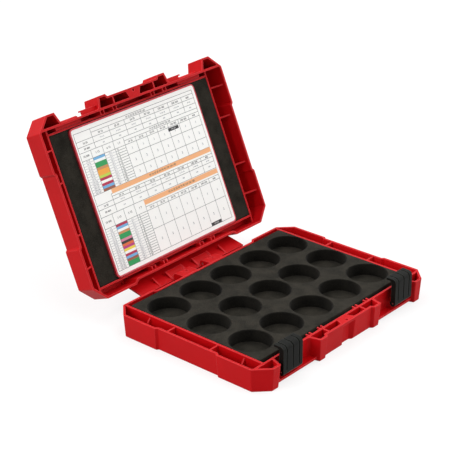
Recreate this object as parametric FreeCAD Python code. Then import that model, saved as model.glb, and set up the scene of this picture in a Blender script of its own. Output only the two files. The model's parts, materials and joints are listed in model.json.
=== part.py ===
import FreeCAD, Part
import os
from math import hypot, sqrt

from FreeCAD import Vector

# A hard case for round dies: a moulded base and lid joined by a knuckle hinge,
# foam with round pockets, a printed chart on the lid's foam and two draw latches.
# X runs along the hinge, the latches face -Y, and the base stands on Z = 0 with its
# plan centred on the origin. The lid is built shut and then turned to its open stop.
# Both halves are widest at the rim where they meet and draw in towards their closed faces.

# Overall sizes of the two halves
case_width = 272.0
case_depth = 194.5
base_height = 25.0
lid_height = 25.0
lid_open_angle = 113.5

# Moulding
wall = 2.2
floor_thickness = 2.2
rib_thickness = 1.5
outline_radius = 1.0
bevel_radius = 2.2
edge_bevel = 0.8
mould_draft = 1.7
rim_gap = 0.2
overrun = 1.0

# Plan of both halves
corner_bevel = 15.0
side_channel = 16.0
side_recess = 2.2
side_recess_length = 75.0
side_recess_bevel = 2.2
front_setback = 12.5
bumper_front = 10.7
bumper_slant = 5.0
hinge_recess = 3.4
hinge_recess_length = 150.0
hinge_recess_bevel = 4.0

# Grip block in the middle of the front
grip_width = 99.0
grip_end_slant = 3.0
grip_root_radius = 4.0
grip_facet = 10.5
grip_step = 3.0
grip_step_bevel = 2.5
grip_rib_place = 30.0
grip_web_front = 26.0
grip_web_back = 15.0
grip_web_thickness = 3.0

# Seal hole in the grip's web and the recess below it
seal_hole = 3.0
seal_hole_inset = 3.2
seal_recess_mouth = 22.0
seal_recess_back = 11.0
seal_recess_depth = 4.8

# Ribs and nubs inside the halves
base_rib_place = 27.5
base_rib_drop = 0.8
gusset_place = 61.0
gusset_drop = 2.0
gusset_reach = 4.0
gusset_fall = 5.0
lid_rib_places = (27.5, 62.0)
lid_rib_rise = 7.0
nub_places = (28.5, 46.5)
nub_spacing = 4.9
nub_thickness = 1.2
nub_reach = 4.2
nub_drop = 0.4
lid_nub_rise = 6.5

# Foam in the base
foam_side_gap = 0.4
foam_front_gap = 4.6
foam_back_gap = 1.6
foam_proud = 0.4
pocket_diameter = 42.6
pocket_depth = 13.0
pocket_side_margin = 2.0
pocket_end_margin = 9.6
pocket_least_gap = 3.4

# Foam frame, foam and chart in the lid
frame_depth = 10.5
frame_wall = 2.0
frame_front_gap = 4.6
frame_back_gap = 7.1
chart_side_margin = 24.5
chart_front_margin = 0.8
chart_back_margin = 0.9
chart_thickness = 2.4
chart_corner = 5.0
sheet_inset = 1.8
sheet_thickness = 0.3

# Hinge
hinge_reach = 10.4
hinge_drop = 6.8
knuckle_radius = 4.0
hinge_pin_radius = 1.5
fixed_clearance = 0.02
running_clearance = 0.06
hinge_half_length = 80.0
hinge_arm_place = 20.8
hinge_arm_width = 21.5
hinge_side_gap = 0.3
hinge_plate = 1.6
hinge_knuckle = 6.0
hinge_pin_cover = 2.0
hood_wall = 2.0
hood_top_drop = 1.2
hood_lip = 4.8
hood_rib_place = 52.0
hood_rib_height = 3.4
hood_rib_share = 0.42
hood_pad_height = 2.8
shelf_foot = 0.8
shelf_lip = 6.0
shelf_end_gap = 3.0
arm_drop = 2.0

# Latches
latch_width = 28.6
latch_side_gap = 0.7
latch_front_inset = 1.3
latch_plate = 2.8
latch_flange = 5.6
latch_flange_thickness = 2.0
latch_pivot_height = 12.0
latch_barrel_radius = 3.3
latch_pin_radius = 1.1
latch_rise = 14.6
latch_lip_thickness = 2.6
latch_lip_hook = 0.8
latch_bend_radius = 4.6
latch_groove_width = 1.4
latch_groove_depth = 1.0
latch_groove_spacing = 9.3
lug_thickness = 3.4
lug_place = 6.5
lug_radius = 2.1
lug_gap = 0.35
notch_flange = 7.7
notch_flange_rise = 2.5

# Catch on the lid that the latch's lip hooks over
catch_gap = 0.4
catch_bead = 1.2
catch_bead_height = 3.0
catch_setback = 4.0

# Ledges on the lid between the grip and the latches
ledge_reach = 4.7
ledge_height = 4.5
ledge_thickness = 1.8
ledge_tab = 2.6
ledge_tab_reach = 1.6

# Places worked out from the sizes above
half_width = case_width / 2
front_y = -case_depth / 2
back_y = case_depth / 2
front_wall_y = front_y + front_setback
side_wall_x = half_width - side_channel
bumper_end_x = half_width - corner_bevel - bumper_front
bumper_root_x = bumper_end_x - bumper_slant
grip_end_x = grip_width / 2
grip_root_x = grip_end_x + grip_end_slant
lobe_y = front_y + grip_step
hinge_wall_y = back_y - hinge_recess
hinge_y = back_y + hinge_reach
hinge_z = base_height - hinge_drop
knuckle_y = hinge_y + knuckle_radius
hood_lip_z = hinge_z + hood_lip
lid_z = base_height + rim_gap
lid_top_z = lid_z + lid_height
hood_top_z = lid_top_z - hood_top_drop
latch_x = bumper_root_x - latch_side_gap - latch_width / 2
latch_front_y = front_y + latch_front_inset
latch_pivot_y = latch_front_y + latch_barrel_radius
latch_top_z = base_height + latch_rise
catch_top_z = latch_top_z - latch_lip_thickness - catch_gap


def corner(x, y, radius=outline_radius):
    """One corner of a plan outline, with its rounding."""
    return (x, y, radius)


def edge_normal(start, end):
    """Inward unit normal of an edge of an anticlockwise outline."""
    length = hypot(end[0] - start[0], end[1] - start[1])
    return (start[1] - end[1]) / length, (end[0] - start[0]) / length


def inset(points, distance, kept_from_y=None):
    """Move the edges of an anticlockwise outline inward, but for those wholly behind a kept line."""
    moved = []
    for index, (x, y, radius) in enumerate(points):
        before = points[index - 1]
        after = points[(index + 1) % len(points)]
        shifts = []
        for other in (before, after):
            kept = kept_from_y is not None and min(y, other[1]) >= kept_from_y
            shifts.append(0 if kept else distance)
        n = edge_normal(before, (x, y))
        m = edge_normal((x, y), after)
        turn = n[0] * m[1] - n[1] * m[0]
        new_x = x + (shifts[0] * m[1] - shifts[1] * n[1]) / turn
        new_y = y + (shifts[1] * n[0] - shifts[0] * m[0]) / turn
        if radius > 0:
            radius = max(radius - distance, 0) if turn > 0 else radius + distance
        moved.append((new_x, new_y, radius))
    return moved


def drawn(points, distance):
    """The outline drawn in by the mould's draft: all but the hinge side moves, the roundings stay."""
    moved = inset(points, distance, hinge_wall_y - wall)
    return [(x, y, radius) for (x, y, _), (_, _, radius) in zip(moved, points)]


def outline_face(points):
    """Face of a closed outline of (x, y, radius) corners, rounded by tangent arcs."""
    edges = []
    ends = []
    for index, (x, y, radius) in enumerate(points):
        here = Vector(x, y, 0)
        back = Vector(*points[index - 1][:2], 0) - here
        ahead = Vector(*points[(index + 1) % len(points)][:2], 0) - here
        if radius <= 0:
            ends.append((here, None, here))
            continue
        u = Vector(back).normalize()
        v = Vector(ahead).normalize()
        half_sine = sqrt((1 - u.dot(v)) / 2)
        half_cosine = sqrt((1 + u.dot(v)) / 2)
        reach = radius * half_cosine / half_sine
        middle = (u + v).normalize() * (radius / half_sine - radius)
        ends.append((here + u * reach, here + middle, here + v * reach))
    for index, (start, middle, end) in enumerate(ends):
        last = ends[index - 1][2]
        if last.distanceToPoint(start) > Part.Precision.confusion():
            edges.append(Part.LineSegment(last, start).toShape())
        if middle is not None:
            edges.append(Part.Arc(start, middle, end).toShape())
    return Part.Face(Part.Wire(edges))


def prism(points, bottom, top):
    """Upright solid of a plan outline between two heights."""
    solid = outline_face(points).extrude(Vector(0, 0, top - bottom))
    solid.translate(Vector(0, 0, bottom))
    return solid


def drafted(sections):
    """Solid through plan outlines at several heights, with true planes for its flat sides."""
    wires = []
    for points, z in sections:
        wire = outline_face(points).OuterWire
        wire.translate(Vector(0, 0, z))
        wires.append(wire)
    loft = Part.makeLoft(wires, True, True)
    faces = [Part.Face(face.OuterWire) if face.findPlane() else face for face in loft.Faces]
    shell = Part.makeShell(faces)
    shell.sewShape()
    return Part.makeSolid(shell)


def block(x_range, y_range, z_range):
    """Box between three pairs of faces."""
    corner_point = Vector(min(x_range), min(y_range), min(z_range))
    sizes = [abs(pair[1] - pair[0]) for pair in (x_range, y_range, z_range)]
    return Part.makeBox(*sizes, corner_point)


def rod(radius, x_range, y, z):
    """Round bar along X."""
    length = x_range[1] - x_range[0]
    return Part.makeCylinder(radius, length, Vector(x_range[0], y, z), Vector(1, 0, 0))


def side_profile(points, x_range):
    """Solid of a (y, z) profile between two places along X."""
    corners = [Vector(x_range[0], y, z) for y, z in points]
    face = Part.Face(Part.makePolygon(corners + corners[:1]))
    return face.extrude(Vector(x_range[1] - x_range[0], 0, 0))


def mirrored(shape):
    """The same shape on the other side of the case's middle plane."""
    return shape.mirror(Vector(0, 0, 0), Vector(1, 0, 0))


def on_both_sides(shapes):
    """Shapes from the +X side together with their mirror images."""
    return list(shapes) + [mirrored(shape) for shape in shapes]


def around(middle, size):
    """The two ends of a size set about its middle."""
    return (middle - size / 2, middle + size / 2)


def case_plan():
    """Anticlockwise plan of both halves at the rim: bevelled corners, set-in sides, notched front."""
    recess_end = side_recess_length / 2
    hinge_end = hinge_recess_length / 2
    right = [
        corner(grip_end_x - grip_facet - grip_step_bevel, lobe_y, 0),
        corner(grip_end_x - grip_facet, front_y, 0),
        corner(grip_end_x, front_y),
        corner(grip_root_x, front_wall_y, grip_root_radius),
        corner(bumper_root_x, front_wall_y),
        corner(bumper_end_x, front_y),
        corner(half_width - corner_bevel, front_y, bevel_radius),
        corner(half_width, front_y + corner_bevel, bevel_radius),
        corner(half_width, -recess_end - side_recess_bevel, 0),
        corner(half_width - side_recess, -recess_end, 0),
        corner(half_width - side_recess, recess_end, 0),
        corner(half_width, recess_end + side_recess_bevel, 0),
        corner(half_width, back_y - corner_bevel, bevel_radius),
        corner(half_width - corner_bevel, back_y, bevel_radius),
        corner(hinge_end + hinge_recess_bevel, back_y),
        corner(hinge_end, hinge_wall_y),
    ]
    left = [(-x, y, radius) for x, y, radius in reversed(right)]
    return right + left


def draw_at(depth):
    """How far the mould's draft has drawn a half in at a depth from its rim."""
    return mould_draft * depth / base_height


def moulded_half(rim_z, closed_z):
    """Solid of one half, drawn in from its rim, with a bevelled edge round its closed face."""
    edge_z = closed_z + edge_bevel * (rim_z - closed_z) / abs(rim_z - closed_z)
    edge_plan = drawn(case_plan(), draw_at(abs(edge_z - rim_z)))
    return drafted([(case_plan(), rim_z), (edge_plan, edge_z), (inset(edge_plan, edge_bevel), closed_z)])


def half_inside(rim_z, end_z):
    """Room inside the outer wall of a half, from its rim to a depth."""
    plan = inset(case_plan(), wall)
    return drafted([(plan, rim_z), (drawn(plan, draw_at(abs(end_z - rim_z))), end_z)])


def front_hollows(rim_z, end_z):
    """Open pockets of the two front bumpers and of the grip, split by thin ribs and the web."""
    z_range = (rim_z, end_z)
    ahead = block((-half_width, half_width), (front_y, front_wall_y), z_range)
    rib = block(around(grip_rib_place, rib_thickness), (front_y, front_wall_y), z_range)
    web = [corner(-grip_web_front / 2, front_y, 0), corner(grip_web_front / 2, front_y, 0),
           corner(grip_web_back / 2, front_wall_y, 0), corner(-grip_web_back / 2, front_wall_y, 0)]
    solids = on_both_sides([rib]) + [prism(web, min(z_range), max(z_range))]
    return half_inside(rim_z, end_z).common(ahead).cut(solids)


def seal_passage(rim_z, closed_z):
    """Hole through the grip's web for a seal, and the recess below the web that it leads to."""
    slope = (seal_recess_mouth - seal_recess_back) / seal_recess_depth
    mouth = seal_recess_mouth + slope * grip_step
    back = lobe_y + seal_recess_depth
    plan = [corner(-mouth / 2, front_y, 0), corner(mouth / 2, front_y, 0),
            corner(seal_recess_back / 2, back), corner(-seal_recess_back / 2, back)]
    inward = (closed_z - rim_z) / abs(closed_z - rim_z)
    levels = sorted((rim_z + grip_web_thickness * inward, closed_z + overrun * inward))
    ends = sorted((rim_z - overrun * inward, rim_z + (grip_web_thickness + overrun) * inward))
    place = Vector(0, lobe_y + seal_hole_inset, ends[0])
    return [prism(plan, *levels), Part.makeCylinder(seal_hole / 2, ends[1] - ends[0], place)]


def across_channel(y, corners):
    """Thin upright plate of (x, z) corners in a side channel."""
    points = [Vector(x, y - rib_thickness / 2, z) for x, z in corners]
    face = Part.Face(Part.makePolygon(points + points[:1]))
    return face.extrude(Vector(0, rib_thickness, 0))


def channel_rib(y, inner_z, outer_z, closed_z):
    """Thin rib across the side channel on the +X side; its free edge may slope."""
    return across_channel(y, [(side_wall_x, inner_z), (half_width - wall, outer_z), (half_width, outer_z),
                              (half_width, closed_z), (side_wall_x, closed_z)])


def channel_gusset(y, top, closed_z):
    """Narrow sloped gusset on the inner wall of the side channel on the +X side."""
    reach_x = side_wall_x + gusset_reach
    return across_channel(y, [(side_wall_x, top), (reach_x, top - gusset_fall), (reach_x, closed_z),
                              (side_wall_x, closed_z)])


def side_channels(inside, ribs):
    """Channels between the inner and outer side walls, less the ribs."""
    box = inside.BoundBox
    beside = block((side_wall_x, half_width), (front_wall_y + wall, back_y), (box.ZMin, box.ZMax))
    return on_both_sides([inside.common(beside).cut(ribs)])


def nubs(wall_y, reach, z_range):
    """Pairs of small ribs standing on the inside of the front or the back wall."""
    pieces = []
    for place in nub_places:
        for offset in (-nub_spacing / 2, nub_spacing / 2):
            across = around(place + offset, nub_thickness)
            pieces.append(block(across, (wall_y, wall_y + reach), z_range))
    return on_both_sides(pieces)


def arm_span():
    """Width of the base's hinge arm on the +X side."""
    return around(hinge_arm_place, hinge_arm_width)


def knuckle_span(play=0):
    """Width of the lid's knuckle in the middle of one arm, with some play on each side."""
    return around(hinge_arm_place, hinge_knuckle + play * 2)


def pin_span():
    """Reach of the pin and its bore, which are open towards the middle of the case."""
    low, high = arm_span()
    return (low, high - hinge_pin_cover)


def beside_arm():
    """Widths of the two hood ribs that stand beside one arm."""
    low, high = arm_span()
    return [(low - hinge_side_gap - hinge_plate, low - hinge_side_gap),
            (high + hinge_side_gap, high + hinge_side_gap + hinge_plate)]


def base_hinge():
    """Two slotted hollow arms behind the base that carry the hinge pins, and the shelf that stops the lid."""
    lip_z = hinge_z - shelf_lip
    reach = hinge_half_length - shelf_end_gap
    shelf = [(hinge_wall_y - wall, shelf_foot), (hinge_wall_y, shelf_foot), (knuckle_y, lip_z - hood_wall),
             (knuckle_y, lip_z), (knuckle_y - hood_wall, lip_z), (hinge_wall_y - wall, shelf_foot + hood_wall)]
    root_z = base_height - arm_drop
    cover = [(hinge_wall_y - wall, root_z), (hinge_wall_y - wall, root_z - hood_wall),
             (hinge_y, hinge_z + knuckle_radius - hood_wall), (hinge_y, hinge_z + knuckle_radius)]
    cheek = [(hinge_wall_y - wall, root_z), (hinge_wall_y - wall, shelf_foot + hood_wall),
             (hinge_y, hinge_z - knuckle_radius), (hinge_y, hinge_z + knuckle_radius)]
    low, high = arm_span()
    slot_x = knuckle_span(hinge_side_gap)
    room = knuckle_radius + hinge_side_gap
    arm = [rod(knuckle_radius, (low, high), hinge_y, hinge_z), side_profile(cover, (low, high))]
    for start in (low, slot_x[0] - hinge_plate, slot_x[1], high - hinge_plate):
        arm.append(side_profile(cheek, (start, start + hinge_plate)))
    slot = block(slot_x, (hinge_y - room, knuckle_y + overrun), (hinge_z - room, base_height))
    bore = rod(hinge_pin_radius + fixed_clearance, pin_span(), hinge_y, hinge_z)
    return [side_profile(shelf, (-reach, reach))] + on_both_sides(arm), on_both_sides([slot, bore])


def latch_lugs():
    """Lugs on the front wall that carry the latch pins, on the +X side."""
    lugs = []
    for offset in (-lug_place, lug_place):
        span = around(latch_x + offset, lug_thickness)
        eye = rod(lug_radius, span, latch_pivot_y, latch_pivot_height)
        rise = around(latch_pivot_height, lug_radius * 2)
        lugs += [eye, block(span, (latch_pivot_y, front_wall_y + wall), rise)]
    return lugs


def base_shell():
    """Base: double side walls, hollow front blocks, latch lugs and the lower hinge half."""
    shell = moulded_half(base_height, 0)
    flange_x = (grip_end_x, bumper_end_x)
    flange_y = (front_y + front_setback - notch_flange, front_wall_y + wall)
    flange_z = (notch_flange_rise, notch_flange_rise + floor_thickness)
    flange = block(flange_x, flange_y, flange_z)
    hinge, hinge_cuts = base_hinge()
    shell = shell.fuse(on_both_sides([flange]) + hinge)

    inside = half_inside(base_height, floor_thickness)
    inner_x = side_wall_x - wall
    bay = block((-inner_x, inner_x), (front_wall_y + wall, back_y), (floor_thickness, base_height))
    rib_top = base_height - base_rib_drop
    ribs = []
    for side in (-1, 1):
        ribs.append(channel_rib(side * base_rib_place, rib_top, rib_top, 0))
        ribs.append(channel_gusset(side * gusset_place, base_height - gusset_drop, 0))
    hollows = [inside.common(bay), front_hollows(base_height, floor_thickness)]
    hollows += side_channels(inside, ribs) + seal_passage(base_height, 0)
    shell = shell.cut(hollows)

    nub_rise = (floor_thickness, base_height - nub_drop)
    added = nubs(front_wall_y + wall, nub_reach, nub_rise)
    added += on_both_sides(latch_lugs())
    pin_span = (latch_x - latch_width / 2, latch_x + latch_width / 2)
    pin_bore = rod(latch_pin_radius + fixed_clearance, pin_span, latch_pivot_y, latch_pivot_height)
    shell = shell.fuse(added).cut(hinge_cuts + on_both_sides([pin_bore]))
    return shell.removeSplitter()


def hood_point(along_share, depth):
    """A (y, z) point at a share of the hood's slope and a depth inward from its outer face."""
    run_y = hinge_wall_y - knuckle_y
    run_z = hood_top_z - hood_lip_z
    length = hypot(run_y, run_z)
    y = knuckle_y + run_y * along_share - run_z / length * depth
    return y, hood_lip_z + run_z * along_share + run_y / length * depth


def hood_wedge(height, x_range):
    """Rib or pad on the hood's inner face that grows from the lip and ends in a step."""
    points = [hood_point(0, 0), hood_point(hood_rib_share, 0), hood_point(hood_rib_share, hood_wall + height),
              hood_point(0, hood_wall)]
    return side_profile(points, x_range)


def lid_hinge():
    """Sloping hood behind the lid, with ribs, pads and the knuckles that turn on the pins."""
    hood = [hood_point(0, 0), hood_point(1, 0), hood_point(1, hood_wall), hood_point(0, hood_wall)]
    neck = [(hinge_y, hinge_z), (knuckle_y, hinge_z), hood_point(0, 0), hood_point(0, hood_wall)]
    pieces = [hood_wedge(hood_pad_height, arm_span()), rod(knuckle_radius, knuckle_span(), hinge_y, hinge_z),
              side_profile(neck, knuckle_span())]
    for span in beside_arm() + [around(hood_rib_place, hinge_plate)]:
        pieces.append(hood_wedge(hood_rib_height, span))
    bore = rod(hinge_pin_radius + running_clearance, knuckle_span(), hinge_y, hinge_z)
    whole_hood = side_profile(hood, (-hinge_half_length, hinge_half_length))
    return [whole_hood] + on_both_sides(pieces), on_both_sides([bore])


def lid_frame_range():
    """Inner faces of the frame round the lid's foam, as X half width and Y range."""
    inner_x = side_wall_x - frame_wall
    front = front_wall_y + wall + frame_front_gap + frame_wall
    back = back_y - wall - frame_back_gap - frame_wall
    return inner_x, front, back


def lid_catches():
    """Beads that the latches hook over, and the set-back wall above them, on the +X side."""
    zone = around(latch_x, latch_width + latch_side_gap * 2)
    backing_y = (front_wall_y, front_wall_y + catch_setback + wall)
    backing = block((zone[0] - wall, zone[1] + wall), backing_y, (catch_top_z - wall, lid_top_z))
    recess_top = lid_top_z + overrun
    recess_y = (front_wall_y - overrun, front_wall_y + catch_setback)
    recess = block(zone, recess_y, (catch_top_z, recess_top))
    low = catch_top_z - catch_bead_height
    root_y = front_wall_y + wall
    bead = [(root_y, low), (front_wall_y, low), (front_wall_y - catch_bead, catch_top_z - catch_bead),
            (front_wall_y - catch_bead, catch_top_z), (root_y, catch_top_z)]
    return backing, recess, side_profile(bead, around(latch_x, latch_width))


def lid_ledge():
    """Ledge on the lid's front wall beside the grip, with a thin tab at its end."""
    inner_end = latch_x - latch_width / 2 - latch_side_gap
    z = (lid_z + ledge_height, lid_z + ledge_height + ledge_thickness)
    lip_y = front_wall_y - ledge_reach
    ledge = block((grip_end_x, inner_end - ledge_tab), (lip_y, front_wall_y + wall), z)
    tab = block((inner_end - ledge_tab, inner_end), (lip_y, lip_y + ledge_tab_reach), z)
    return [ledge, tab]


def lid_shell():
    """Lid, shut: the base's plan turned over, with a low frame round its foam."""
    ceiling = lid_top_z - floor_thickness
    frame_z = lid_z + frame_depth
    shell = moulded_half(lid_z, lid_top_z)
    hinge, hinge_bores = lid_hinge()
    backing, recess, bead = lid_catches()
    backings = on_both_sides([backing])

    ribs = []
    for place in lid_rib_places:
        for y in (-place, place):
            ribs.append(channel_rib(y, frame_z, frame_z - lid_rib_rise, lid_top_z))
    inside = half_inside(lid_z, ceiling)
    behind = block((-half_width, half_width), (front_wall_y + wall, back_y), (lid_z, frame_z))
    dish = inside.common(behind).cut(on_both_sides(ribs) + backings)

    inner_x, front, back = lid_frame_range()
    bay_z = (frame_z, ceiling)
    foam_bay = block((-inner_x, inner_x), (front, back), bay_z)
    front_gap = block((-inner_x, inner_x), (front_wall_y + wall, front - frame_wall), bay_z)
    back_gap = block((-inner_x, inner_x), (back + frame_wall, back_y), bay_z)
    end_gaps = [inside.common(gap).cut(backings) for gap in (front_gap, back_gap)]
    hollows = [dish, foam_bay, front_hollows(lid_z, ceiling)] + end_gaps
    hollows += side_channels(inside, ribs) + seal_passage(lid_z, lid_top_z)
    hollows += on_both_sides([recess])
    shell = shell.cut(hollows)

    nub_z = (frame_z - lid_nub_rise, ceiling)
    hinge_wall_inside = hinge_wall_y - wall
    added = nubs(front_wall_y + wall, frame_front_gap, nub_z)
    added += nubs(hinge_wall_inside, back + frame_wall - hinge_wall_inside, nub_z)
    added += on_both_sides(lid_ledge() + [bead]) + hinge
    shell = shell.fuse(added).cut(hinge_bores)
    return shell.removeSplitter()


def right_hinge_pin():
    """Steel pin of one hinge arm, flush with the arm's inner end."""
    return rod(hinge_pin_radius, pin_span(), hinge_y, hinge_z)


def latch_profile(skin, depth):
    """Side profile of the latch's lip and of a plate of one depth, thinned outside by a skin."""
    front = latch_front_y + skin
    top = latch_top_z - skin
    inner = latch_front_y + depth
    under = latch_top_z - latch_lip_thickness
    tip = front_wall_y + latch_lip_hook
    bend = latch_bend_radius - skin
    turn = bend * (1 - sqrt(2) / 2)
    heel = latch_bend_radius - latch_lip_thickness
    points = [
        Vector(0, front, latch_pivot_height),
        Vector(0, front, top - bend),
        Vector(0, front + turn, top - turn),
        Vector(0, front + bend, top),
        Vector(0, tip, top),
        Vector(0, tip, under),
        Vector(0, inner + heel, under),
        Vector(0, inner, under - heel),
        Vector(0, inner, latch_pivot_height),
    ]
    edges = [
        Part.LineSegment(points[0], points[1]).toShape(),
        Part.Arc(points[1], points[2], points[3]).toShape(),
    ]
    for start, end in zip(points[3:], points[4:] + points[:1]):
        edges.append(Part.LineSegment(start, end).toShape())
    return Part.Face(Part.Wire(edges))


def right_latch():
    """Ribbed draw latch: a flanged plate with a hooked lip, hung on its pin by a split barrel."""
    span = around(latch_x, latch_width)
    grooves = [latch_x - latch_groove_spacing, latch_x, latch_x + latch_groove_spacing]
    core = latch_profile(latch_groove_depth, latch_plate).extrude(Vector(latch_width, 0, 0))
    core.translate(Vector(span[0], 0, 0))
    starts = [span[0]] + [place + latch_groove_width / 2 for place in grooves]
    ends = [place - latch_groove_width / 2 for place in grooves] + [span[1]]
    ribs = []
    for start, end in zip(starts, ends):
        rib = latch_profile(0, latch_plate).extrude(Vector(end - start, 0, 0))
        rib.translate(Vector(start, 0, 0))
        ribs.append(rib)
    barrel = rod(latch_barrel_radius, span, latch_pivot_y, latch_pivot_height)
    flanges = []
    for start in (span[0], span[1] - latch_flange_thickness):
        flange = latch_profile(0, latch_flange).extrude(Vector(latch_flange_thickness, 0, 0))
        flange.translate(Vector(start, 0, 0))
        flanges.append(flange)
    latch = core.fuse(ribs + flanges + [barrel])

    cuts = []
    slot = lug_radius + lug_gap
    for offset in (-lug_place, lug_place):
        gap_x = around(latch_x + offset, lug_thickness + lug_gap * 2)
        behind = latch_pivot_y + latch_barrel_radius + overrun
        below = latch_pivot_height - latch_barrel_radius - overrun
        cuts.append(rod(slot, gap_x, latch_pivot_y, latch_pivot_height))
        cuts.append(block(gap_x, (latch_pivot_y, behind), around(latch_pivot_height, slot * 2)))
        cuts.append(block(gap_x, (latch_pivot_y - slot, behind), (below, latch_pivot_height)))
    bore_radius = latch_pin_radius + running_clearance
    cuts.append(rod(bore_radius, span, latch_pivot_y, latch_pivot_height))
    return latch.cut(cuts).removeSplitter()


def right_latch_pin():
    """Steel pin of one latch, held in the base's lugs."""
    span = around(latch_x, latch_width - latch_side_gap * 2)
    return rod(latch_pin_radius, span, latch_pivot_y, latch_pivot_height)


def foam_plan():
    """Half width and Y range of the base's foam."""
    x = side_wall_x - wall - foam_side_gap
    return x, front_wall_y + wall + foam_front_gap, hinge_wall_y - wall - foam_back_gap


def pocket_places(low, high, margin):
    """Evenly spread pocket centres along one direction of the foam."""
    room = high - low - margin * 2
    count = int((room + pocket_least_gap) / (pocket_diameter + pocket_least_gap))
    first = low + margin + pocket_diameter / 2
    last = high - margin - pocket_diameter / 2
    if count < 2:
        return [(low + high) / 2]
    return [first + (last - first) * index / (count - 1) for index in range(count)]


def foam_tray():
    """Upper foam layer with the round pockets punched through it."""
    x, front, back = foam_plan()
    top = base_height + foam_proud
    tray = block((-x, x), (front, back), (top - pocket_depth, top))
    pockets = []
    for px in pocket_places(-x, x, pocket_side_margin):
        for py in pocket_places(front, back, pocket_end_margin):
            pockets.append(Part.makeCylinder(pocket_diameter / 2, pocket_depth, Vector(px, py, top - pocket_depth)))
    return tray.cut(pockets)


def foam_floor():
    """Lower foam layer that closes the pockets."""
    x, front, back = foam_plan()
    top = base_height + foam_proud - pocket_depth
    return block((-x, x), (front, back), (floor_thickness, top))


def lid_foam():
    """Foam sheet lying in the lid's frame."""
    inner_x, front, back = lid_frame_range()
    x = inner_x - foam_side_gap
    y_range = (front + foam_side_gap, back - foam_side_gap)
    return block((-x, x), y_range, (lid_z + frame_depth, lid_top_z - floor_thickness))


def chart_plan(margin):
    """Rounded outline of the chart board, drawn in by a margin."""
    inner_x, front, back = lid_frame_range()
    x = inner_x - chart_side_margin - margin
    low = front + chart_front_margin + margin
    high = back - chart_back_margin - margin
    radius = max(chart_corner - margin, outline_radius)
    return [corner(-x, low, radius), corner(x, low, radius), corner(x, high, radius), corner(-x, high, radius)]


def chart_board():
    """Stiff board stuck to the lid's foam."""
    face_z = lid_z + frame_depth
    return prism(chart_plan(0), face_z - chart_thickness, face_z)


def chart_sheet():
    """Printed sheet on the face of the chart board."""
    face_z = lid_z + frame_depth - chart_thickness
    return prism(chart_plan(sheet_inset), face_z - sheet_thickness, face_z)


def opened(shape):
    """Turn a piece of the shut lid about the hinge to its open stop."""
    return shape.rotated(Vector(0, hinge_y, hinge_z), Vector(1, 0, 0), -lid_open_angle)


parts = {
    "base_shell": base_shell(),
    "foam_floor": foam_floor(),
    "foam_tray": foam_tray(),
    "right_hinge_pin": right_hinge_pin(),
    "left_hinge_pin": mirrored(right_hinge_pin()),
    "right_latch_pin": right_latch_pin(),
    "left_latch_pin": mirrored(right_latch_pin()),
    "right_latch": right_latch(),
    "left_latch": mirrored(right_latch()),
    "lid_shell": opened(lid_shell()),
    "lid_foam": opened(lid_foam()),
    "chart_board": opened(chart_board()),
    "chart_sheet": opened(chart_sheet()),
}

os.makedirs("parts", exist_ok=True)
for name, shape in parts.items():
    shape.exportStep(os.path.join("parts", name + ".step"))
    print(name, "solids", len(shape.Solids), "valid", shape.isValid(), "volume", round(shape.Volume))
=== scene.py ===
import json
import math

import bmesh
import bpy
from mathutils import Matrix, Vector

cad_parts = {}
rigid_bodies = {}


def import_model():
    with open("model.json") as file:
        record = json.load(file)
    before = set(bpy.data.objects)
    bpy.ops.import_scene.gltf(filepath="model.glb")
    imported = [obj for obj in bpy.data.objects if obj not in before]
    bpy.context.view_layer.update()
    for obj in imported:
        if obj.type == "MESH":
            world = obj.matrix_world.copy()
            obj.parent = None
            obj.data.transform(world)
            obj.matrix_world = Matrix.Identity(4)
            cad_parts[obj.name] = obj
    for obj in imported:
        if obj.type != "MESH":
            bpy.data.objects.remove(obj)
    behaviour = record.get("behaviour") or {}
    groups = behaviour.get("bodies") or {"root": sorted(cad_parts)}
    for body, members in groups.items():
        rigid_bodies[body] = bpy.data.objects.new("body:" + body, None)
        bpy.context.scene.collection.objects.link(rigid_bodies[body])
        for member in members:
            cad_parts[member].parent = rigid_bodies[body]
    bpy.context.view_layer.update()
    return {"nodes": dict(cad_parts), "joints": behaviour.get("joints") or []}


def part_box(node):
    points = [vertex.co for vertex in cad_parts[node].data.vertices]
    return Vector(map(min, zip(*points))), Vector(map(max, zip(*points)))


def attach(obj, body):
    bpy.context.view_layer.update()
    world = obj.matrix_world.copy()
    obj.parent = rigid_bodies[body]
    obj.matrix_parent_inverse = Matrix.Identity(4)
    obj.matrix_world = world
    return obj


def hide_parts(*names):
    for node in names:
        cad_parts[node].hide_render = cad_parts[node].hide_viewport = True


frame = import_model()


# Base shell: one injection moulding in red polypropylene, with double side walls, hollow
# bumpers, a grip and the hinge arms. The mould's spark-eroded steel leaves a fine even grain on
# its faces, and its outer edges carry a painted highlight, a little lighter than the red.

def linear(hex_colour):
    """An sRGB hex colour as linear RGBA."""
    values = []
    for start in (1, 3, 5):
        value = int(hex_colour[start:start + 2], 16) / 255
        values.append(value / 12.92 if value <= 0.04045 else ((value + 0.055) / 1.055) ** 2.4)
    return (*values, 1.0)


def add_node(tree, kind, settings=None, inputs=None):
    """One node with its settings; an input is a value or another node's output socket."""
    node = tree.nodes.new(kind)
    for name, value in (settings or {}).items():
        setattr(node, name, value)
    for name, value in (inputs or {}).items():
        if isinstance(value, bpy.types.NodeSocket):
            tree.links.new(value, node.inputs[name])
        else:
            node.inputs[name].default_value = value
    return node


def new_material(name):
    """An empty node material, its tree and its output."""
    material = bpy.data.materials.new(name)
    material.use_nodes = True
    tree = material.node_tree
    tree.nodes.clear()
    return material, tree, add_node(tree, "ShaderNodeOutputMaterial")


def own_place(tree):
    """The piece's own coordinates, in metres."""
    return add_node(tree, "ShaderNodeTexCoord").outputs["Object"]


def per_metre(size_mm):
    """Texture scale that gives a pattern of this size in millimetres."""
    return 1000.0 / size_mm


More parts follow.
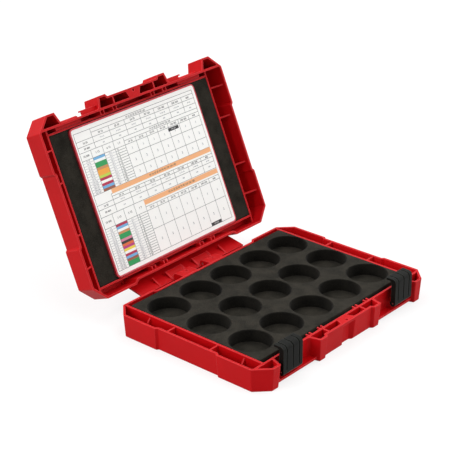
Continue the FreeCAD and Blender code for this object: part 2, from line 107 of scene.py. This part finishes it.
def noise(tree, place, size_mm, detail):
    """Soft noise of this size in millimetres."""
    node = add_node(tree, "ShaderNodeTexNoise", None,
                    {"Vector": place, "Scale": per_metre(size_mm), "Detail": detail})
    return node.outputs["Fac"]


def spanned(tree, value, low, high):
    """A value of 0 to 1, mapped on a range."""
    node = add_node(tree, "ShaderNodeMapRange", None,
                    {"Value": value, "To Min": low, "To Max": high})
    return node.outputs["Result"]


def two_tone(tree, factor, colours, positions):
    """Colour ramp between two hex colours."""
    ramp = add_node(tree, "ShaderNodeValToRGB", None, {"Fac": factor})
    for element, colour, position in zip(ramp.color_ramp.elements, colours, positions):
        element.color = linear(colour)
        element.position = position
    return ramp.outputs["Color"]


def mixed_colour(tree, blend_type, factor, first, second):
    """Two colours mixed; a Mix node in colour mode has them at sockets 6 and 7, its result at 2."""
    node = add_node(tree, "ShaderNodeMix", {"data_type": "RGBA", "blend_type": blend_type},
                    {"Factor": factor, 6: first, 7: second})
    return node.outputs[2]


def lay_surface(tree, output, inputs):
    """A principled shader with these inputs as the material's surface."""
    shader = add_node(tree, "ShaderNodeBsdfPrincipled", None, inputs)
    tree.links.new(shader.outputs["BSDF"], output.inputs["Surface"])


def moulded_plastic(name, colours, edge_highlight_colour, roughness, specular, grain_mm, grain_height):
    """Moulded plastic: a slow drift of colour, rounded edges with a painted highlight in a lighter
    colour, a fine grain and a gloss that is a little uneven."""
    edge_width = 0.0007
    drift_mm = 40
    drift_ends = (0.35, 0.65)
    detail = 3.0
    flat_face = 0.95
    sharp_edge = 0.55
    edge_highlight_share = 0.85
    gloss_swing = 0.06
    grain_strength = 0.5
    material, tree, output = new_material(name)
    place = own_place(tree)
    body = two_tone(tree, noise(tree, place, drift_mm, detail), colours, drift_ends)
    grain = noise(tree, place, grain_mm, detail)
    inward = add_node(tree, "ShaderNodeAmbientOcclusion",
                      {"inside": True, "only_local": True, "samples": 8}, {"Distance": edge_width})
    # Painted highlight: where the inward occlusion finds an edge, the colour is mixed towards the
    # lighter edge colour.
    painted_edge_highlight = add_node(tree, "ShaderNodeMapRange", None,
                      {"Value": inward.outputs["AO"], "From Min": flat_face,
                       "From Max": sharp_edge, "To Max": edge_highlight_share})
    tint = mixed_colour(tree, "MIX", painted_edge_highlight.outputs["Result"], body, linear(edge_highlight_colour))
    rounded = add_node(tree, "ShaderNodeBevel", {"samples": 6}, {"Radius": edge_width})
    bump = add_node(tree, "ShaderNodeBump", None,
                    {"Height": grain, "Distance": grain_height, "Strength": grain_strength,
                     "Normal": rounded.outputs["Normal"]})
    gloss = spanned(tree, grain, roughness - gloss_swing, roughness + gloss_swing)
    lay_surface(tree, output,
                {"Base Color": tint, "Roughness": gloss, "Normal": bump.outputs["Normal"],
                 "IOR": 1.49, "Specular IOR Level": specular})
    return material


def dress(node_name, material):
    """Give a CAD node one material."""
    mesh = frame["nodes"][node_name].data
    mesh.materials.clear()
    mesh.materials.append(material)


# The grain of about 0.5 mm is drawn at 1 mm so that it shows at this size.
# e8474c is a painted highlight along the shell's edges.
red_polypropylene = moulded_plastic("red_polypropylene_moulded", ("#b9070e", "#c10a11"), "#e8474c",
                                    roughness=0.50, specular=0.12, grain_mm=1.0,
                                    grain_height=0.00002)
dress("base_shell", red_polypropylene)


# Lower foam: a plain layer of dark closed-cell polyethylene foam, cut from sheet. It lies on the
# base's floor, held by the walls, and closes the pockets of the layer above.

def closed_cell_foam(name, colours):
    """Matt foam: small closed cells that show as a speckle, a cloudy skin and hardly any sheen."""
    # Cells of about 0.4 mm are drawn at 0.9 mm so that they show.
    cell_mm = 0.9
    cell_depth = 0.0001
    cell_share = 0.5
    cloud_mm = 14
    tone_ends = (0.45, 0.95)
    material, tree, output = new_material(name)
    place = own_place(tree)
    cells = add_node(tree, "ShaderNodeTexVoronoi", None,
                     {"Vector": place, "Scale": per_metre(cell_mm)}).outputs["Distance"]
    speckle = add_node(tree, "ShaderNodeMath", {"operation": "MULTIPLY_ADD"},
                       {0: cells, 1: cell_share, 2: noise(tree, place, cloud_mm, 5.0)})
    body = two_tone(tree, speckle.outputs["Value"], colours, tone_ends)
    bump = add_node(tree, "ShaderNodeBump", None,
                    {"Height": cells, "Distance": cell_depth, "Strength": 0.5})
    lay_surface(tree, output,
                {"Base Color": body, "Roughness": 0.9, "IOR": 1.45, "Specular IOR Level": 0.08,
                 "Normal": bump.outputs["Normal"], "Sheen Weight": 0.02})
    return material


def new_piece(name, mesh, *materials):
    """A mesh object at the origin with these materials."""
    piece = bpy.data.objects.new(name, mesh)
    bpy.context.scene.collection.objects.link(piece)
    for material in materials:
        mesh.materials.append(material)
    return piece


def rounded_ring(half, centre, radius):
    """Points of a rounded rectangle, anticlockwise."""
    corner_steps = 6
    points = []
    for turn, (sx, sy) in enumerate(((1, 1), (-1, 1), (-1, -1), (1, -1))):
        for step in range(corner_steps + 1):
            angle = math.radians(90 * turn + 90 * step / corner_steps)
            points.append((centre[0] + sx * (half[0] - radius) + radius * math.cos(angle),
                           centre[1] + sy * (half[1] - radius) + radius * math.sin(angle)))
    return points


def circle_ring(centre, radius):
    """Points of a circle, anticlockwise."""
    circle_steps = 72
    turns = [2 * math.pi * step / circle_steps for step in range(circle_steps)]
    return [(centre[0] + radius * math.cos(a), centre[1] + radius * math.sin(a)) for a in turns]


def soft_edge(softness):
    """Inset and drop of a rounded edge, from its top face to its side."""
    edge_steps = 4
    angles = [math.pi / 2 * step / edge_steps for step in range(edge_steps + 1)]
    return [(softness * (1 - math.sin(a)), softness * (1 - math.cos(a))) for a in angles]


def lofted_slab(name, loops):
    """Closed slab from loops of rings of (points, z), top to bottom: its outside first, which
    takes the first material, and then its holes, whose walls take the second."""
    bm = bmesh.new()
    top_edges = []
    bottom_edges = []
    for loop, rings in enumerate(loops):
        rows = [[bm.verts.new((x, y, z)) for x, y in points] for points, z in rings]
        count = len(rows[0])
        for upper, lower in zip(rows, rows[1:]):
            for i in range(count):
                k = (i + 1) % count
                wall = bm.faces.new((upper[i], upper[k], lower[k], lower[i]))
                wall.material_index = min(loop, 1)
        for row, edges in ((rows[0], top_edges), (rows[-1], bottom_edges)):
            edges += [bm.edges.get((row[i], row[(i + 1) % count])) for i in range(count)]
    for edges in (top_edges, bottom_edges):
        bmesh.ops.triangle_fill(bm, use_beauty=True, use_dissolve=False, edges=edges)
    bmesh.ops.recalc_face_normals(bm, faces=bm.faces)
    mesh = bpy.data.meshes.new(name)
    bm.to_mesh(mesh)
    bm.free()
    return mesh


def foam_slab(name, low, high, softness, holes=(), hole_radius=0.0):
    """Foam layer between two corners, with soft upper edges and round holes."""
    corner_radius = 0.0025
    centre = ((low.x + high.x) / 2, (low.y + high.y) / 2)
    half = ((high.x - low.x) / 2, (high.y - low.y) / 2)
    outer = []
    for inset, drop in soft_edge(softness):
        ring = rounded_ring((half[0] - inset, half[1] - inset), centre, corner_radius - inset)
        outer.append((ring, high.z - drop))
    outer.append((rounded_ring(half, centre, corner_radius), low.z))
    loops = [outer]
    for hole in holes:
        rings = []
        for inset, drop in soft_edge(softness):
            rings.append((circle_ring(hole, hole_radius + inset), high.z - drop))
        rings.append((circle_ring(hole, hole_radius), low.z))
        loops.append(rings)
    return lofted_slab(name, loops)


lower_foam = closed_cell_foam("polyethylene_foam_lower_layer", ("#1a1915", "#302d27"))
floor_low, floor_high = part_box("foam_floor")
pocket_floor_mesh = foam_slab("pocket_floor_foam", floor_low, floor_high, softness=0.0005)
pocket_floor = new_piece("pocket_floor_foam", pocket_floor_mesh, lower_foam)
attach(pocket_floor, "base")
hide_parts("foam_floor")


# Die tray: the upper layer of the same foam, die-cut with fifteen round pockets, whose rims the
# knife has drawn in a little. It lies on the lower layer. The pockets' cut walls take a darker
# foam than the skin on the upper face: painted shade in the pockets.

skin_foam = closed_cell_foam("polyethylene_foam_skin", ("#191814", "#302d27"))
# The cut walls' colours are painted shade, about half as light as the skin.
painted_shade_cut_foam = closed_cell_foam("polyethylene_foam_cut_wall_painted_shade", ("#0e0d0b", "#1e1c18"))
pocket_radius = 0.0213
column_pitch = 0.04705
row_pitch = 0.0531
tray_low, tray_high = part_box("foam_tray")
tray_middle = (tray_low.y + tray_high.y) / 2
pockets = []
for row in (-1, 0, 1):
    for column in (-2, -1, 0, 1, 2):
        pockets.append((column_pitch * column, tray_middle + row_pitch * row))
tray_mesh = foam_slab("die_tray_foam", tray_low, tray_high, softness=0.0009,
                      holes=pockets, hole_radius=pocket_radius)
tray = new_piece("die_tray_foam", tray_mesh, skin_foam, painted_shade_cut_foam)
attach(tray, "base")
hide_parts("foam_tray")


# Pins: plain drawn steel rods, cut off square, that hinge the lid and the two latches. They are
# fixed in the base, and the lid and the latches turn on them.

def drawn_steel(name):
    """Bright drawn steel, with fine draw marks along X that break up its shine."""
    mark_mm = 0.4
    along_share = 0.05
    material, tree, output = new_material(name)
    place = own_place(tree)
    stretched = add_node(tree, "ShaderNodeMapping", None,
                         {"Vector": place, "Scale": (along_share, 1.0, 1.0)}).outputs["Vector"]
    gloss = spanned(tree, noise(tree, stretched, mark_mm, 2.0), 0.22, 0.4)
    lay_surface(tree, output,
                {"Base Color": linear("#b9b8b5"), "Metallic": 1.0, "Roughness": gloss})
    return material


bright_steel = drawn_steel("drawn_steel_bright")
for pin in ("left_hinge_pin", "right_hinge_pin", "left_latch_pin", "right_latch_pin"):
    dress(pin, bright_steel)


# Lid shell: the base's moulding turned over, in the same red polypropylene, with a low frame
# round its foam and a hollow hood over the hinge. It stands open at its stop.

dress("lid_shell", red_polypropylene)


# Lid foam: a sheet of the tray's foam, cut plain. It fills the lid's frame and presses the dies
# down when the lid is shut.

hinge = next(joint for joint in frame["joints"] if joint["name"] == "lid_hinge")
hinge_point = Vector(hinge["pos_m"])
open_turn = Matrix.Rotation(-math.radians(hinge["range_deg"][1]), 4, "X")
lid_opened = Matrix.Translation(hinge_point) @ open_turn @ Matrix.Translation(-hinge_point)
lid_placed = lid_opened @ Matrix.Rotation(math.pi, 4, "X")


def lying_box(node_name):
    """Corners of a lid piece lying face up, before it is turned over, shut and opened."""
    laid = lid_placed.inverted()
    points = [laid @ vertex.co for vertex in frame["nodes"][node_name].data.vertices]
    lows = [min(point[axis] for point in points) for axis in range(3)]
    highs = [max(point[axis] for point in points) for axis in range(3)]
    return Vector(lows), Vector(highs)


lid_foam_mesh = foam_slab("lid_foam_sheet", *lying_box("lid_foam"), softness=0.0008)
lid_foam_mesh.transform(lid_placed)
lid_foam_sheet = new_piece("lid_foam_sheet", lid_foam_mesh, skin_foam)
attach(lid_foam_sheet, "lid")
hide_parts("lid_foam")


# Chart board: a stiff board with a red satin coat, stuck to the lid's foam. It shows as a red
# edge round the white sheet.

def coated_board(name, hex_colour, roughness):
    """Coated board or paper: one even colour with a faint fibre mottle and a satin coat."""
    fibre_mm = 0.8
    material, tree, output = new_material(name)
    place = own_place(tree)
    shade = spanned(tree, noise(tree, place, fibre_mm, 4.0), 0.96, 1.02)
    tint = mixed_colour(tree, "MULTIPLY", 1.0, linear(hex_colour), shade)
    lay_surface(tree, output,
                {"Base Color": tint, "Roughness": roughness, "IOR": 1.5,
                 "Specular IOR Level": 0.35})
    return material


dress("chart_board", coated_board("red_coated_board", "#c8303f", 0.4))


# Chart sheet: white coated paper, cut with round corners and stuck on the board, which it
# leaves showing all round.

dress("chart_sheet", coated_board("white_coated_paper", "#fbfbf8", 0.45))


# Print on the sheet: offset ink in ruled tables, with two orange title bands, the colour codes
# of the dies and plain numbers. The ink stands a few hundredths of a millimetre on the paper.
# Rules of about 0.25 mm are drawn at 0.45 mm so that they show.

sheet_low, sheet_high = lying_box("chart_sheet")
left_margin = 0.0020
right_margin = 0.0040
end_margin = 0.0046
grid_left = sheet_low.x + left_margin
grid_top = sheet_high.y - end_margin
grid_width = sheet_high.x - sheet_low.x - left_margin - right_margin
grid_height = sheet_high.y - sheet_low.y - end_margin * 2
rule_width = 0.00045
ink_thickness = 0.00005
ink_step = 0.000015
code_layer, down_layer, across_layer, band_layer, figure_layer = 0, 1.0, 1.3, 1.6, 2
block_shape = 10
figure_step = 0.72
blank_step = 0.36
large_type, label_type, band_type, title_type = 0.0026, 0.0022, 0.0021, 0.0020
line_type, row_type, small_type, fine_type = 0.0019, 0.0016, 0.0015, 0.0013
rule_grey = "#68696c"
dark_grey = "#1f2022"
light_grey = "#8b8e96"
pale_grey = "#bcbdc1"
band_orange = "#f3b27c"
bar_black = "#1b1b1d"
paper_white = "#f4f4f2"
print_marks = []


def ink_patch(u0, v0, u1, v1, colour, layer, extra=0.0):
    """A patch between two places of the grid, which run from 0 to 1 rightwards and downwards."""
    middle = (grid_left + grid_width * (u0 + u1) / 2, grid_top - grid_height * (v0 + v1) / 2, layer)
    size = (grid_width * (u1 - u0) + extra, grid_height * (v1 - v0) + extra)
    print_marks.append((block_shape, middle, size, colour))


def rules_down(u_places, v0, v1):
    """Thin rules down the sheet at some places."""
    for u in u_places:
        ink_patch(u, v0, u, v1, rule_grey, down_layer, rule_width)


def rules_across(v_places, u0, u1, colour=rule_grey):
    """Thin rules across the sheet at some places, a trace higher than those down it."""
    for v in v_places:
        ink_patch(u0, v, u1, v, colour, across_layer, rule_width)


def figures(text, u, v, height, colour):
    """A number centred at a place of the grid; a blank is half a figure wide."""
    steps = [blank_step if letter == " " else figure_step for letter in text]
    x = grid_left + grid_width * u - height * sum(steps) / 2
    y = grid_top - grid_height * v
    for letter, step in zip(text, steps):
        if letter != " ":
            middle = (x + height * step / 2, y, figure_layer)
            print_marks.append((int(letter), middle, (height, height), colour))
        x += height * step


def even_places(low, high, count):
    """Places that divide a stretch evenly, with both ends."""
    return [low + (high - low) * index / count for index in range(count + 1)]


def middles(places):
    """Middles between neighbouring places."""
    return [(a + b) / 2 for a, b in zip(places, places[1:])]


# The page's frame, then the head of each table: a ruled block of ranges over eight columns.
head_columns = (0.0, 0.13, 0.27, 0.40, 0.53, 0.65, 0.775, 0.895, 1.0)
head_ranges = ("10 16", "25 35", "50 70", "95 120", "150 185", "240 300", "400")
first_head_rows = (0.0, 0.026, 0.06, 0.10, 0.14)
second_head_rows = (0.478, 0.496, 0.520, 0.555, 0.608)
rules_down((0.0, 1.0), 0.0, 1.0)
rules_across((0.0,), 0.0, head_columns[1])
for head_rows in (first_head_rows, second_head_rows):
    rules_down(head_columns[2:-1], head_rows[1], head_rows[4])
    rules_down(head_columns[1:2], head_rows[0], head_rows[4])
    rules_across(head_rows[:2], head_columns[1], 1.0)
    rules_across(head_rows[2:], 0.0, 1.0)
    levels = middles(head_rows)
    for column, text in zip(middles(head_columns)[1:], head_ranges):
        figures(text, column, levels[1], label_type, dark_grey)
        figures(text[:2] + " " + text, column, levels[2], fine_type, light_grey)
        figures(text[-2:] + "0", column, levels[3], small_type, light_grey)
    for level, text in zip(levels[2:], ("10 35", "50 400")):
        figures(text, head_columns[1] / 2, level, band_type, dark_grey)
figures("10 16 25 35 50 70 95 120", 0.5, 0.014, title_type, dark_grey)
figures("10 16 25 35 50 70 95 120 150", 0.66, 0.154, line_type, dark_grey)

# Body of each table: small rows with a colour code on the left, seven large columns on the right.
code_columns = (0.0, 0.085, 0.178, 0.265, 0.35)
row_number_inset = 0.018
label_row = 0.03
large_left = code_columns[-1]
large_columns = even_places(large_left, 1.0, 7)
code_middles = middles(code_columns)
large_middles = middles(large_columns)
sky, green, tan, gold, lemon, lime = "#6fb0dd", "#1c9650", "#c98a58", "#f0a63e", "#efd64a", "#bcd34c"
ruby, pink, magenta, orange, brown = "#b22248", "#d9829c", "#b8327e", "#dd6a33", "#96553f"
first_codes = (sky, None, green, green, tan, gold, gold, lime, ruby, None, ruby, sky, brown)
second_codes = (ruby, sky, None, tan, green, green, pink, bar_black, orange, magenta, lemon, None,
                ruby, sky, brown, green, green)
first_sizes = "10 16 16 25 35 50 70 95 120 150 185 240 300".split()
second_sizes = "6 8 10 10 16 16 25 25 35 50 70 95 120 150 185 240 300".split()
bodies = (
    (0.14, 0.197, 0.445, first_codes, first_sizes, (0.27, 0.366)),
    (0.608, 0.692, 1.0, second_codes, second_sizes, (0.832,)),
)
for head_v, data_v, foot_v, codes, row_sizes, large_rows in bodies:
    rows = even_places(data_v, foot_v, len(codes))
    label_v = data_v - label_row
    rules_down(code_columns[1:], head_v, foot_v)
    rules_across((data_v, foot_v), 0.0, 1.0)
    rules_down(large_columns[1:-1], label_v, foot_v)
    rules_across(large_rows, large_left, 1.0)
    rules_across((label_v,), large_left, 1.0)
    rules_across(rows[1:-1], *code_columns[3:5])
    rules_across(rows[1:-1], *code_columns[:2], pale_grey)
    rules_across(rows[1:-1], *code_columns[2:4], pale_grey)
    for column, text in zip(code_middles, ("10 300", "1 13", "6 12", "1 7")):
        figures(text, column, (head_v + data_v) / 2, label_type, dark_grey)
    for column, text in zip(large_middles, head_ranges):
        figures(text, column, data_v - label_row / 2, band_type, dark_grey)
    for column in large_middles:
        for index, level in enumerate(middles((data_v, *large_rows, foot_v))):
            figures(str(index + 1), column, level, large_type, light_grey)
    half_row = (rows[1] - rows[0]) / 2
    for level, colour, text in zip(middles(rows), codes, row_sizes):
        if colour:
            ink_patch(code_columns[1], level - half_row, code_columns[2], level + half_row,
                      colour, code_layer)
        figures(text + " " + text, code_middles[0], level, row_type, light_grey)
        figures(text + " 1", code_middles[2], level, row_type, light_grey)
        figures(text, code_columns[3] + row_number_inset, level, small_type, dark_grey)

# Orange title bands, and two black bars with numbers left white.
for u0, v0, v1 in ((0.14, 0.447, 0.478), (large_left, 0.614, 0.646)):
    ink_patch(u0, v0, 1.0, v1, band_orange, band_layer, rule_width)
    figures("10 16 25 35 50 70 95 120 150 185", (u0 + 1) / 2, (v0 + v1) / 2, band_type, dark_grey)
bar_width = 0.09
bar_height = 0.024
for u0, v0 in ((0.714, 0.203), (0.815, 0.976)):
    ink_patch(u0, v0, u0 + bar_width, v0 + bar_height, bar_black, band_layer)
    figures("9 5 1 2 0", u0 + bar_width / 2, v0 + bar_height / 2, fine_type, paper_white)


def glyph_mesh(letter):
    """One figure of the built-in plain type, a unit high, centred and a unit thick."""
    curve_steps = 2
    weight = 0.02
    weld_distance = 1e-4
    straight_angle = 0.02
    type_data = bpy.data.curves.new("figure", "FONT")
    type_data.body = letter
    type_data.extrude = 0.5
    type_data.resolution_u = curve_steps
    type_data.offset = weight
    holder = bpy.data.objects.new("figure", type_data)
    bpy.context.scene.collection.objects.link(holder)
    evaluated = holder.evaluated_get(bpy.context.evaluated_depsgraph_get())
    mesh = bpy.data.meshes.new_from_object(evaluated)
    bpy.data.objects.remove(holder)
    bm = bmesh.new()
    bm.from_mesh(mesh)
    bmesh.ops.remove_doubles(bm, verts=bm.verts, dist=weld_distance)
    bmesh.ops.dissolve_limit(bm, angle_limit=straight_angle, verts=bm.verts, edges=bm.edges)
    bmesh.ops.recalc_face_normals(bm, faces=bm.faces)
    spans = [[v.co[axis] for v in bm.verts] for axis in (0, 1)]
    middle = [(min(span) + max(span)) / 2 for span in spans]
    tall = max(spans[1]) - min(spans[1])
    bmesh.ops.translate(bm, verts=bm.verts, vec=(-middle[0], -middle[1], 0))
    bmesh.ops.scale(bm, verts=bm.verts, vec=(1 / tall, 1 / tall, 1))
    bm.to_mesh(mesh)
    bm.free()
    return mesh


def unit_block():
    """A closed block of one unit about the origin."""
    mesh = bpy.data.meshes.new("patch")
    bm = bmesh.new()
    bmesh.ops.create_cube(bm, size=1.0)
    bm.to_mesh(mesh)
    bm.free()
    return mesh


def printing_tree():
    """Geometry nodes that set a stock of shapes on the marks' points, each to its own size."""
    tree = bpy.data.node_groups.new("chart_printing", "GeometryNodeTree")
    sockets = {}
    for label, kind in (("Marks", "NodeSocketGeometry"), ("Shapes", "NodeSocketCollection"),
                        ("Thickness", "NodeSocketFloat"), ("Ink", "NodeSocketMaterial")):
        socket = tree.interface.new_socket(label, in_out="INPUT", socket_type=kind)
        sockets[label] = socket.identifier
    tree.interface.new_socket("Print", in_out="OUTPUT", socket_type="NodeSocketGeometry")
    given = add_node(tree, "NodeGroupInput").outputs
    shape = add_node(tree, "GeometryNodeInputNamedAttribute", {"data_type": "INT"},
                     {"Name": "shape"})
    size = add_node(tree, "GeometryNodeInputNamedAttribute", {"data_type": "FLOAT_VECTOR"},
                    {"Name": "size"})
    flat = add_node(tree, "ShaderNodeCombineXYZ", None,
                    {"X": 1.0, "Y": 1.0, "Z": given["Thickness"]})
    scale = add_node(tree, "ShaderNodeVectorMath", {"operation": "MULTIPLY"},
                     {0: size.outputs["Attribute"], 1: flat.outputs["Vector"]})
    stock = add_node(tree, "GeometryNodeCollectionInfo", None,
                     {"Collection": given["Shapes"], "Separate Children": True,
                      "Reset Children": True})
    laid = add_node(tree, "GeometryNodeInstanceOnPoints", None,
                    {"Points": given["Marks"], "Instance": stock.outputs["Instances"],
                     "Pick Instance": True, "Instance Index": shape.outputs["Attribute"],
                     "Scale": scale.outputs["Vector"]})
    real = add_node(tree, "GeometryNodeRealizeInstances", None,
                    {"Geometry": laid.outputs["Instances"]})
    inked = add_node(tree, "GeometryNodeSetMaterial", None,
                     {"Geometry": real.outputs["Geometry"], "Material": given["Ink"]})
    add_node(tree, "NodeGroupOutput", None, {"Print": inked.outputs["Geometry"]})
    return tree, sockets


def offset_ink(name):
    """Offset ink in the colour of each mark, a little uneven where the paper took less of it."""
    mottle_mm = 0.6
    material, tree, output = new_material(name)
    place = own_place(tree)
    colour = add_node(tree, "ShaderNodeAttribute", {"attribute_name": "ink"}).outputs["Color"]
    shade = spanned(tree, noise(tree, place, mottle_mm, 3.0), 0.92, 1.08)
    tint = mixed_colour(tree, "MULTIPLY", 1.0, colour, shade)
    lay_surface(tree, output,
                {"Base Color": tint, "Roughness": 0.5, "IOR": 1.5, "Specular IOR Level": 0.35})
    return material


shape_stock = bpy.data.collections.new("print_shapes")
stock_meshes = [glyph_mesh(str(figure)) for figure in range(10)] + [unit_block()]
for index, mesh in enumerate(stock_meshes):
    shape_stock.objects.link(bpy.data.objects.new(f"print_shape_{index:02d}", mesh))

mark_points = bpy.data.meshes.new("chart_print")
mark_places = []
for _, (x, y, layer), _, _ in print_marks:
    mark_places.append((x, y, sheet_high.z + ink_step * layer))
mark_points.from_pydata(mark_places, [], [])
for label, kind in (("shape", "INT"), ("size", "FLOAT_VECTOR"), ("ink", "FLOAT_COLOR")):
    mark_points.attributes.new(label, kind, "POINT")
mark_values = mark_points.attributes
for index, (shape, _, size, colour) in enumerate(print_marks):
    mark_values["shape"].data[index].value = shape
    mark_values["size"].data[index].vector = (*size, 1.0)
    mark_values["ink"].data[index].color = linear(colour)
chart_print = new_piece("chart_print", mark_points)
press_tree, press_sockets = printing_tree()
press = chart_print.modifiers.new("printing", "NODES")
press.node_group = press_tree
press[press_sockets["Shapes"]] = shape_stock
press[press_sockets["Thickness"]] = ink_thickness
press[press_sockets["Ink"]] = offset_ink("offset_ink_on_paper")
evaluated = chart_print.evaluated_get(bpy.context.evaluated_depsgraph_get())
printed_mesh = bpy.data.meshes.new_from_object(evaluated)
chart_print.modifiers.clear()
chart_print.data = printed_mesh
printed_mesh.transform(lid_placed)
for shape_object in list(shape_stock.objects):
    bpy.data.objects.remove(shape_object)
bpy.data.collections.remove(shape_stock)
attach(chart_print, "lid")


# Latches: two dark nylon mouldings, grooved on the front for the thumb, with side flanges and a
# hooked lip. Each turns on its pin in the base's lugs and hooks over the shut lid's catch.

# The grain of about 0.5 mm is drawn at 0.9 mm so that it shows at this size.
# 2e302c is a painted highlight along the latches' edges.
dark_nylon = moulded_plastic("dark_nylon_moulded", ("#0b0c0a", "#10110f"), "#2e302c",
                             roughness=0.5, specular=0.08, grain_mm=0.9, grain_height=0.000015)
for latch in ("left_latch", "right_latch"):
    dress(latch, dark_nylon)


# Stage: a white floor that keeps a soft shadow, a white surround, three wide lamps and the
# photo's camera.

def seen_directly(tree):
    """1 for rays of the camera and for what gloss and glass show, 0 for light that spreads."""
    path = add_node(tree, "ShaderNodeLightPath").outputs
    eye = add_node(tree, "ShaderNodeMath", {"operation": "MAXIMUM"},
                   {0: path["Is Camera Ray"], 1: path["Is Glossy Ray"]})
    both = add_node(tree, "ShaderNodeMath", {"operation": "MAXIMUM"},
                    {0: eye.outputs["Value"], 1: path["Is Transmission Ray"]})
    return both.outputs["Value"]


floor_reach = 4.0
floor_bounce = "#acacac"
shadow_share = 0.24
white = (1, 1, 1, 1)
white_floor, floor_tree, floor_output = new_material("white_floor")
bounce = add_node(floor_tree, "ShaderNodeBsdfDiffuse", None, {"Color": linear(floor_bounce)})
shadowed = add_node(floor_tree, "ShaderNodeBsdfDiffuse", None, {"Color": white})
glow = add_node(floor_tree, "ShaderNodeEmission", None, {"Color": white, "Strength": 1.0})
shown = add_node(floor_tree, "ShaderNodeMixShader", None,
                 {"Fac": shadow_share, 1: glow.outputs["Emission"], 2: shadowed.outputs["BSDF"]})
chosen = add_node(floor_tree, "ShaderNodeMixShader", None,
                  {"Fac": seen_directly(floor_tree), 1: bounce.outputs["BSDF"],
                   2: shown.outputs["Shader"]})
floor_tree.links.new(chosen.outputs["Shader"], floor_output.inputs["Surface"])
floor_corners = [(-floor_reach, -floor_reach, 0), (floor_reach, -floor_reach, 0),
                 (floor_reach, floor_reach, 0), (-floor_reach, floor_reach, 0)]
floor_mesh = bpy.data.meshes.new("floor")
floor_mesh.from_pydata(floor_corners, [], [(0, 1, 2, 3)])
new_piece("floor", floor_mesh, white_floor)

sky_light = 0.3
world = bpy.data.worlds.new("white_studio")
bpy.context.scene.world = world
world.use_nodes = True
background = world.node_tree.nodes["Background"]
background.inputs["Color"].default_value = white
strength = spanned(world.node_tree, seen_directly(world.node_tree), sky_light, 1.0)
world.node_tree.links.new(strength, background.inputs["Strength"])


def far_lamp(name, towards_lamp, softness_deg, level):
    """A wide even lamp; a white sheet square to it gets this share of full white."""
    lamp = bpy.data.lights.new(name, "SUN")
    lamp.angle = math.radians(softness_deg)
    lamp.energy = level * math.pi
    holder = bpy.data.objects.new(name, lamp)
    bpy.context.scene.collection.objects.link(holder)
    holder.rotation_euler = Vector(towards_lamp).to_track_quat("Z", "Y").to_euler()


far_lamp("left_lamp", (-0.80, 0.33, 0.50), softness_deg=45, level=0.63)
far_lamp("right_lamp", (0.55, -0.50, 0.67), softness_deg=100, level=0.83)
far_lamp("back_lamp", (0.05, 0.55, 0.83), softness_deg=40, level=0.28)

image_pixels = 450
focal_pixels = 1470.09
azimuth = math.radians(-48.91)
elevation = math.radians(24.87)
roll = math.radians(-0.33)
camera_place = Vector((-1.03445, -0.83533, 0.71586))
camera_data = bpy.data.cameras.new("camera")
camera_data.sensor_width = 36.0
camera_data.lens = camera_data.sensor_width * focal_pixels / image_pixels
camera_data.clip_start = 0.05
camera = bpy.data.objects.new("camera", camera_data)
bpy.context.scene.collection.objects.link(camera)
back = Vector((math.sin(azimuth) * math.cos(elevation),
               -math.cos(azimuth) * math.cos(elevation),
               math.sin(elevation)))
sideways = Vector((math.cos(azimuth), math.sin(azimuth), 0))
upright = back.cross(sideways)
right = math.cos(roll) * sideways + math.sin(roll) * upright
up = -math.sin(roll) * sideways + math.cos(roll) * upright
camera_turn = Matrix((right, up, back)).transposed().to_4x4()
camera.matrix_world = Matrix.Translation(camera_place) @ camera_turn
bpy.context.scene.camera = camera
bpy.context.scene.view_settings.view_transform = "Standard"
